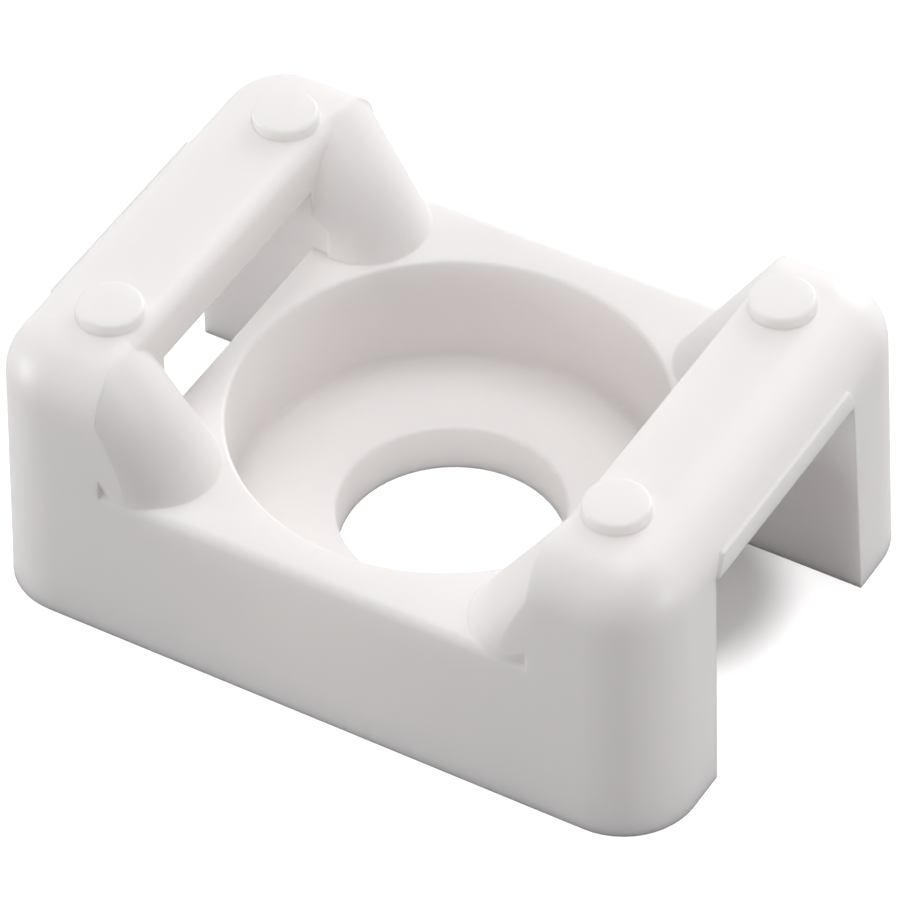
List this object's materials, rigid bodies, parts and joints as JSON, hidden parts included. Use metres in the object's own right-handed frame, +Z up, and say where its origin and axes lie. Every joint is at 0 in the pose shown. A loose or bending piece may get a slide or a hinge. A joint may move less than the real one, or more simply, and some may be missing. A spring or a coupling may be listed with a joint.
{
  "type": "cable tie mount",
  "caption": "Screw-down saddle mount for cable ties, moulded in nylon: a plate with a sunk screw hole between arched end bridges that a tie threads under.",
  "frame": {"origin": "centre of the flat underside, on the axis of the screw bore", "axes": "+Z up out of the screw's cup, +X along the mount from bridge to bridge, +Y across it"},
  "size_m": [0.022, 0.0156, 0.0096],
  "materials": {
    "nylon": "satin, natural moulded nylon 6/6"
  },
  "bodies": {
    "root": {"cable_tie_mount": "nylon"}
  },
  "joints": []
}
